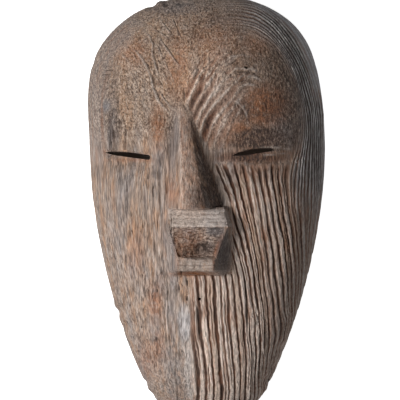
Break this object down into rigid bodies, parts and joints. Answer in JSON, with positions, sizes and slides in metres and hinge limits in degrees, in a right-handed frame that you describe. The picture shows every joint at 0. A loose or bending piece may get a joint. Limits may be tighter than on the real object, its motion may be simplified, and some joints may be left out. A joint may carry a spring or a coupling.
{
  "type": "carved wooden face mask",
  "caption": "Tall egg-shaped wooden face mask, hollow behind, with a wedge nose, slit eyes and a box-shaped mouth, in deeply weathered ridged wood.",
  "frame": {"origin": "middle of the box round the flat back rim, on the surface that the mask lies on", "axes": "+Z out of the face, +Y to the top of the head, +X to the viewer's right"},
  "size_m": [0.1776, 0.3162, 0.0995],
  "materials": {
    "weathered_wood": "dry, weathered bare wood with raised growth rings"
  },
  "bodies": {
    "root": {"mask": "weathered_wood"}
  },
  "joints": []
}
